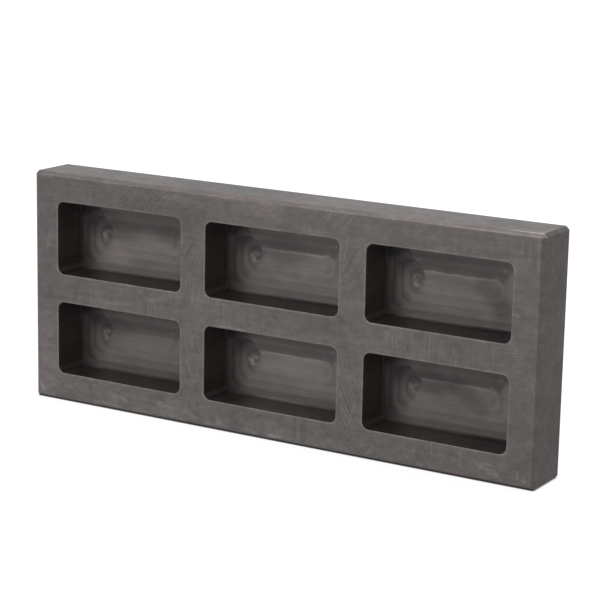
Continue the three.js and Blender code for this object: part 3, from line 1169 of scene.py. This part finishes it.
def side_recipe(place):
    """Tone is streaks times blots times all marks by their weights, among them the painted light of the top
    chamfers and the painted highlight at the upper right corner, times the painted light and shade of the
    lower chamfers.
    """
    x, y, z = parts_of(place)
    front, back, top, bottom, ends = chamfer_zones(x, y, z)
    chamfer = largest([front, back, ends])
    plain = 1.0 - chamfer
    flat_top = top * plain
    end_alone = ends * (1.0 - front)
    # Painted light on the top chamfers, growing to the right
    lit_top_chamfers = product(chamfer, top, x * TOP_CHAMFER_LIGHT_PER_MM + TOP_CHAMFER_LIGHT_AT_MIDDLE, rise(x, *TOP_CHAMFER_LIGHT_FROM_LEFT),
                        weighted((end_alone, -1.2)))
    filed_ends = product(chamfer, ends, 1.0 - top)
    moved = calc_vector("ADD", place, TOP_SHIFT)
    mottled = flat_top * (grain(moved, TOP_BLOTS, 3.0) - 0.5)
    clouded = flat_top * (clouds(x, y, TOP_CLOUDS) - 1.0)
    scratched = flat_top * scratches(x, y, TOP_SCRATCHES)
    wear = edge_wear(place) * (1.0 - bottom)
    # A painted highlight along the worn upper right corner
    corner_highlight = product(wear, rise(z, *CORNER_Z), rise(x, *CORNER_X))
    marks = weighted((lit_top_chamfers, 1.2), (filed_ends, -0.05), (scratched, 0.4), (wear, 0.35),
                     (corner_highlight, 3.0), (flat_top, -0.36), (mottled, 0.7), (clouded, 1.0))
    # Painted light on the front's lower chamfer and painted shade on the end's
    under = weighted((front * bottom, 0.5), (end_alone * bottom, -0.9))
    streaks = grain(place, SIDE_STREAKS, 3.0)
    tone = product(around_one(streaks, 0.3), cloudy(place), marks, under)
    drift = flat_top * (grain(moved, WARM_BLOTS) - 0.5)
    return tone, streaks * 0.8, 0.0, plain * 0.08 + drift * 0.24 + 0.02


side_graphite = graphite_material("graphite side", side_recipe)

# %% [markdown]
# ## The ends and the back
# The two end faces were sawn and only ground over, which leaves slanting arcs and upright streaks.
# They have less sheen at a low angle than the other zones. The back was milled like the face, but it
# has no pockets, so it shows the arcs alone.

# %% The ends, the back and the slots
END_TONE = 1.03
END_TINT = 0.3
END_WARMTH = 0.015
END_STREAKS = (0.9, 0.9, 30)
SAW_ARCS = (60.0, 1.6, 1.0)
SAW_MIDDLE = -30.0
SAW_BOW = 0.02
SAW_ARCS_SHOW = (0.0, (20, 9, 14), 0.4, 0.6)
REAR_ARCS_SHOW = (60.0, (30, 30, 20), 0.35, 0.6)


def end_recipe(place):
    """Tone is streaks times blots, a little lighter at the upper back, times the saw's arcs where they show.
    An arc is a line of equal z + bow * (y - middle)^2."""
    x, y, z = parts_of(place)
    lighter_back = rise(y, 1.0, 10.0) * rise(z, 20.0, 85.0)
    across = y - SAW_MIDDLE
    arcs = grain(joined(x, across * across * SAW_BOW + z, 0.0), SAW_ARCS) - 0.5
    marks = weighted((lighter_back, 0.05), (arcs * patches(place, *SAW_ARCS_SHOW), 0.6))
    streaks = grain(place, END_STREAKS, 3.0)
    tone = product(around_one(streaks, 0.2), cloudy(place), marks, END_TONE)
    return tone, arcs * 0.6, 0.0, END_WARMTH


def back_recipe(place):
    """Tone is blots times the fly cutter's arcs where they show."""
    arcs = fly_arcs(place, 1.0) * patches(place, *REAR_ARCS_SHOW)
    return cloudy(place) * weighted((arcs, 0.9)), arcs * 1.2, 0.0, 0.0


end_graphite = graphite_material("graphite end", end_recipe, END_TINT)
back_graphite = graphite_material("graphite back", back_recipe)
for graphite in (face_graphite, floor_graphite, wall_graphite, side_graphite, back_graphite, end_graphite):
    block.data.materials.append(graphite)
print("slots:", [material.name for material in block.data.materials])

# %% [markdown]
# ## Floor and light
# The photograph has a pure white ground. The floor is a plain pale sheet: its shader is diffuse grey,
# and a glow that only the camera and reflections see makes it white without lighting the block. The
# glow is a little weaker near the block, so that the block's faint cast shadow shows, and it is cut to
# nothing right beside the block, which paints a thin contact shadow there.
# The world is plain grey light for the block and white for the camera.

# %% The white floor and the world
GROUND_HALF = 6.0
GROUND_GREY = (0.25, 0.25, 0.25)
GROUND_ROUGHNESS = 0.9
GROUND_GLOW = 0.92
FAR_GLOW = (3.0, 300.0)
# The painted contact shadow: no glow within the first distance, full glow from the second, in millimetres
PAINTED_CONTACT_SHADOW = (0.2, 1.7)
WORLD_LIGHT = 0.15
WHITE = (1, 1, 1, 1)


def camera_like_rays(tree):
    """1 for the rays that show the background: seen directly, mirrored or through glass."""
    path = tree.nodes.new("ShaderNodeLightPath")
    kinds = ("Is Camera Ray", "Is Glossy Ray", "Is Transmission Ray")
    return largest([Field(path.outputs[kind]) for kind in kinds])


def floor_material():
    """Diffuse grey with the glow: full from far away, a little weaker nearer, none under the chamfers and
    rising just beyond them, which paints a thin contact shadow.
    """
    material = bpy.data.materials.new("white ground")
    material.use_nodes = True
    tree = material.node_tree
    shader = tree.nodes["Principled BSDF"]
    shader.inputs["Base Color"].default_value = (*GROUND_GREY, 1)
    shader.inputs["Roughness"].default_value = GROUND_ROUGHNESS
    shader.inputs["Emission Color"].default_value = WHITE
    x, y, _ = parts_of(place_in_mm(tree))
    beside = calc("MAXIMUM", abs(x) - (LENGTH / 2 - EDGE_CHAMFER), 0.0)
    before = calc("MAXIMUM", abs(y) - (THICKNESS / 2 - EDGE_CHAMFER), 0.0)
    away = distance_to(beside, before, (0.0, 0.0))
    glow = rise(away, *FAR_GLOW) * (1 - GROUND_GLOW) + GROUND_GLOW
    feed(shader.inputs["Emission Strength"], product(camera_like_rays(tree), glow, rise(away, *PAINTED_CONTACT_SHADOW)))
    return material


def make_ground():
    """A square sheet at z = 0."""
    corners = [(-1, -1), (1, -1), (1, 1), (-1, 1)]
    mesh = bpy.data.meshes.new("ground")
    mesh.from_pydata([(x * GROUND_HALF, y * GROUND_HALF, 0) for x, y in corners], [], [(0, 1, 2, 3)])
    mesh.materials.append(floor_material())
    ground = bpy.data.objects.new("ground", mesh)
    bpy.context.scene.collection.objects.link(ground)
    return ground


def make_world():
    """White for the camera and its like, a plain weak light for everything else."""
    world = bpy.data.worlds.new("studio")
    world.use_nodes = True
    background = world.node_tree.nodes["Background"]
    background.inputs["Color"].default_value = WHITE
    strength = camera_like_rays(world.node_tree) * (1 - WORLD_LIGHT) + WORLD_LIGHT
    feed(background.inputs["Strength"], strength)
    bpy.context.scene.world = world
    return world


print("made", make_ground().name, "and", make_world().name)

# %% [markdown]
# ## Lamps
# One large soft lamp stands to the front left and above, which keeps the left walls dark and lights the
# floors of the pockets. A second hangs over the block and gives the top its brighter tone.

# %% The lamps
def area_lamp(name, azimuth, elevation, distance, size, power):
    """A square soft lamp that looks at the middle of the block from this direction. Angles are in degrees,
    distance and size in metres, power in watts."""
    data = bpy.data.lights.new(name, "AREA")
    data.shape = "SQUARE"
    data.size = size
    data.energy = power
    lamp = bpy.data.objects.new(name, data)
    bpy.context.scene.collection.objects.link(lamp)
    right, up, back = camera_axes(np.radians(azimuth), np.radians(elevation), 0.0)
    matrix = np.eye(4)
    matrix[:3, 0], matrix[:3, 1], matrix[:3, 2] = right, up, back
    matrix[:3, 3] = back * distance + np.array([0.0, 0.0, HEIGHT / 2 * MM])
    lamp.matrix_world = Matrix(matrix.tolist())
    return lamp


front_lamp = area_lamp("front", azimuth=-22, elevation=9, distance=1.4, size=0.8, power=6.0)
overhead_lamp = area_lamp("overhead", azimuth=180, elevation=76, distance=1.3, size=0.7, power=6.0)
print("lamps:", front_lamp.name, "and", overhead_lamp.name)

# %% [markdown]
# ## View
# The view transform Standard shows the greys as the materials give them, where a filmic one would
# lift and soften them.

# %% Settings of the view and the end
bpy.context.scene.view_settings.view_transform = "Standard"
print("view transform:", bpy.context.scene.view_settings.view_transform, "and the size table is written")
